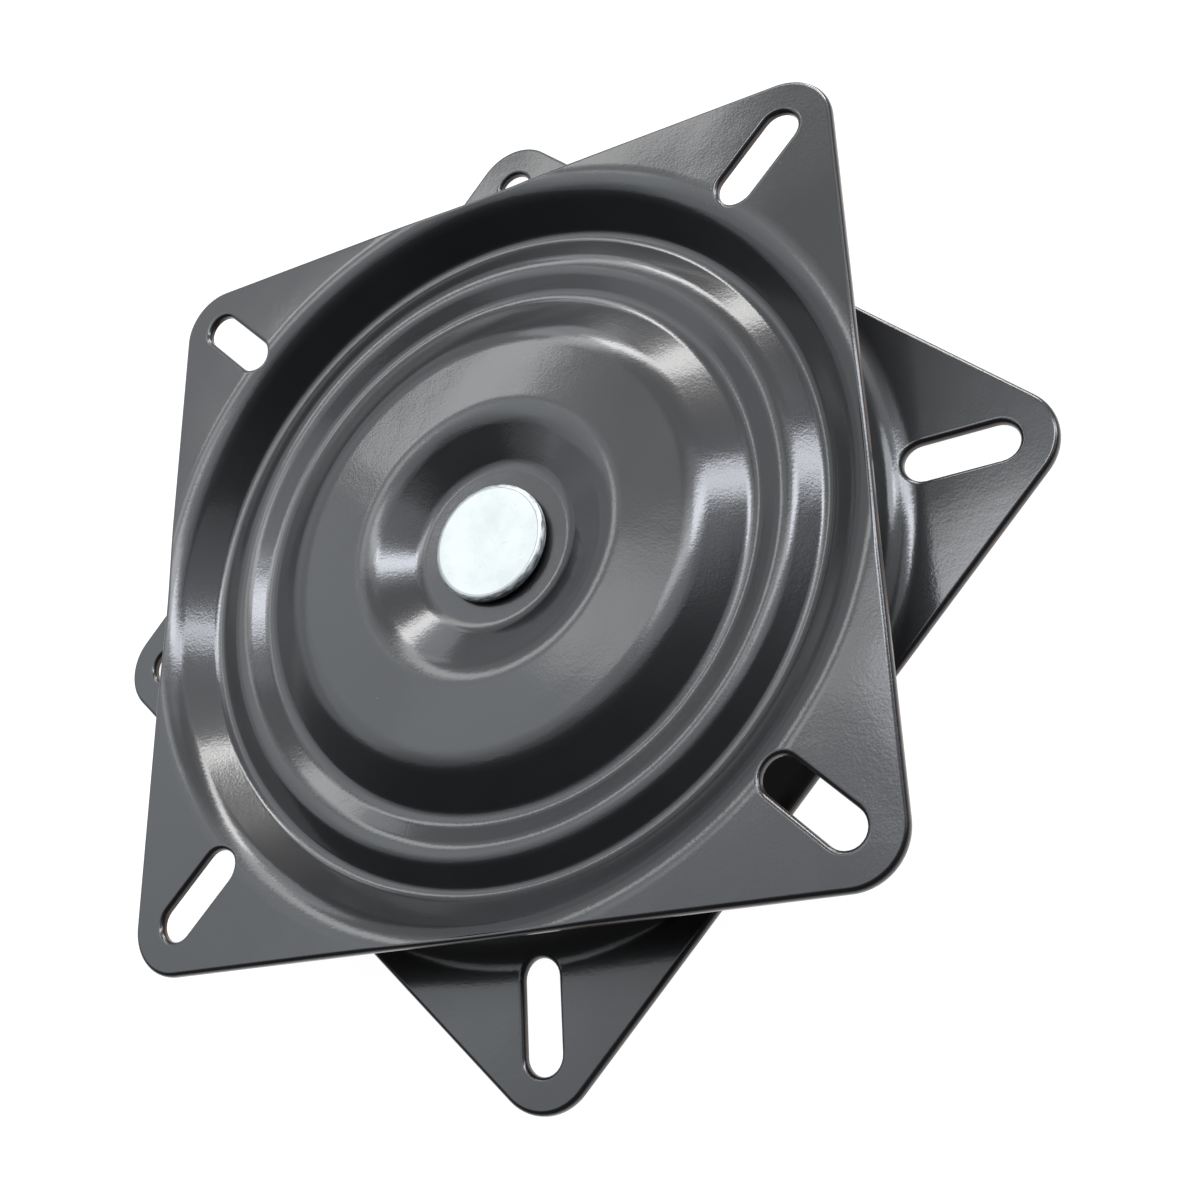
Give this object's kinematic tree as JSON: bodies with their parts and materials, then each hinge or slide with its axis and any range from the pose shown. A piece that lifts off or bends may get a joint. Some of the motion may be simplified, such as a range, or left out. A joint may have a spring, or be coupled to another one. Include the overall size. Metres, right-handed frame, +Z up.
{
  "type": "seat swivel plate",
  "caption": "Square pressed-steel swivel plate for a seat: two dished plates that turn on a caged ball race round a central rivet, with slotted corners.",
  "frame": {"origin": "on the swivel axis, in the plane of the bottom plate's mounting face", "axes": "+Z up along the swivel axis; X and Y run through the corners of the bottom plate; the top plate is stored turned about +Z as pictured, its corners 43.7 degrees on from the axes"},
  "size_m": [0.2418, 0.2418, 0.0254],
  "materials": {
    "plate_paint": "glossy black paint with slight orange peel",
    "zinc_plate": "bright zinc plate",
    "ball_steel": "polished, lightly greased",
    "nylon": "natural moulded nylon"
  },
  "bodies": {
    "base": {"bottom_plate": "plate_paint", "centre_rivet": "zinc_plate", "head_washer": "zinc_plate", "spacer_washer": "nylon", "tail_washer": "zinc_plate"},
    "ball_ring": {"ball_cage": "nylon", "ball_01": "ball_steel", "ball_02": "ball_steel", "ball_03": "ball_steel", "ball_04": "ball_steel", "ball_05": "ball_steel", "ball_06": "ball_steel", "ball_07": "ball_steel", "ball_08": "ball_steel", "ball_09": "ball_steel", "ball_10": "ball_steel", "ball_11": "ball_steel", "ball_12": "ball_steel", "ball_13": "ball_steel", "ball_14": "ball_steel", "ball_15": "ball_steel", "ball_16": "ball_steel", "ball_17": "ball_steel", "ball_18": "ball_steel", "ball_19": "ball_steel", "ball_20": "ball_steel", "ball_21": "ball_steel", "ball_22": "ball_steel", "ball_23": "ball_steel", "ball_24": "ball_steel"},
    "top": {"top_plate": "plate_paint"}
  },
  "joints": [
    {"name": "swivel", "type": "hinge", "parent": "base", "child": "top", "pos_m": [0, 0, 0.0127], "axis": [0, 0, 1], "continuous": true},
    {"name": "ball_ring_turn", "type": "hinge", "parent": "base", "child": "ball_ring", "pos_m": [0, 0, 0.0127], "axis": [0, 0, 1], "continuous": true}
  ],
  "couplings": [
    {"joint": "ball_ring_turn", "follows": "swivel", "ratio": 0.5}
  ]
}
